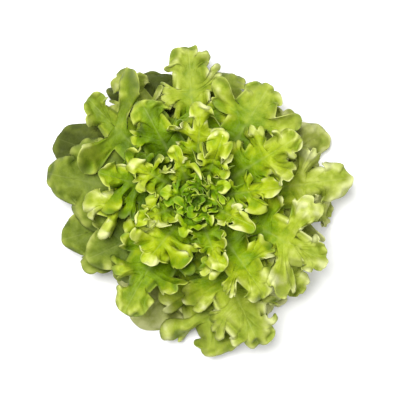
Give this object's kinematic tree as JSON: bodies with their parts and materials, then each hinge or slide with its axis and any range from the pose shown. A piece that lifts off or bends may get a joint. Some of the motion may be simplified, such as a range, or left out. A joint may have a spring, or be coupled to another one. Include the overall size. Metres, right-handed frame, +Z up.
{
  "type": "lettuce head",
  "caption": "Loose rosette of lobed, wavy leaves on a short cut stem that it stands on, with a crinkled heart of young leaves",
  "frame": {"origin": "Centre of the stem's flat cut face, on which the head stands", "axes": "+Z up along the stem, through the growing tip; +X to the right and +Y to the top of the head seen from above"},
  "size_m": [0.2535, 0.2635, 0.1065],
  "materials": {
    "leaf": "satin",
    "heart": "satin",
    "stem": "matte"
  },
  "bodies": {
    "root": {"stem": "stem", "leaf_01": "leaf", "leaf_02": "leaf", "leaf_03": "leaf", "leaf_04": "leaf", "leaf_05": "leaf", "leaf_06": "leaf", "leaf_07": "leaf", "leaf_08": "leaf", "leaf_09": "leaf", "leaf_10": "leaf", "leaf_11": "leaf", "leaf_12": "leaf", "leaf_13": "leaf", "leaf_14": "leaf", "leaf_15": "leaf", "leaf_16": "leaf", "leaf_17": "leaf", "leaf_18": "leaf", "leaf_19": "leaf", "leaf_20": "leaf", "leaf_21": "leaf", "leaf_22": "leaf", "leaf_23": "leaf", "leaf_24": "leaf", "leaf_25": "leaf", "leaf_26": "leaf", "leaf_27": "leaf", "leaf_28": "leaf", "leaf_29": "leaf", "leaf_30": "leaf", "leaf_31": "leaf", "leaf_32": "leaf", "leaf_33": "leaf", "leaf_34": "leaf", "leaf_35": "leaf", "heart": "heart"}
  },
  "joints": []
}
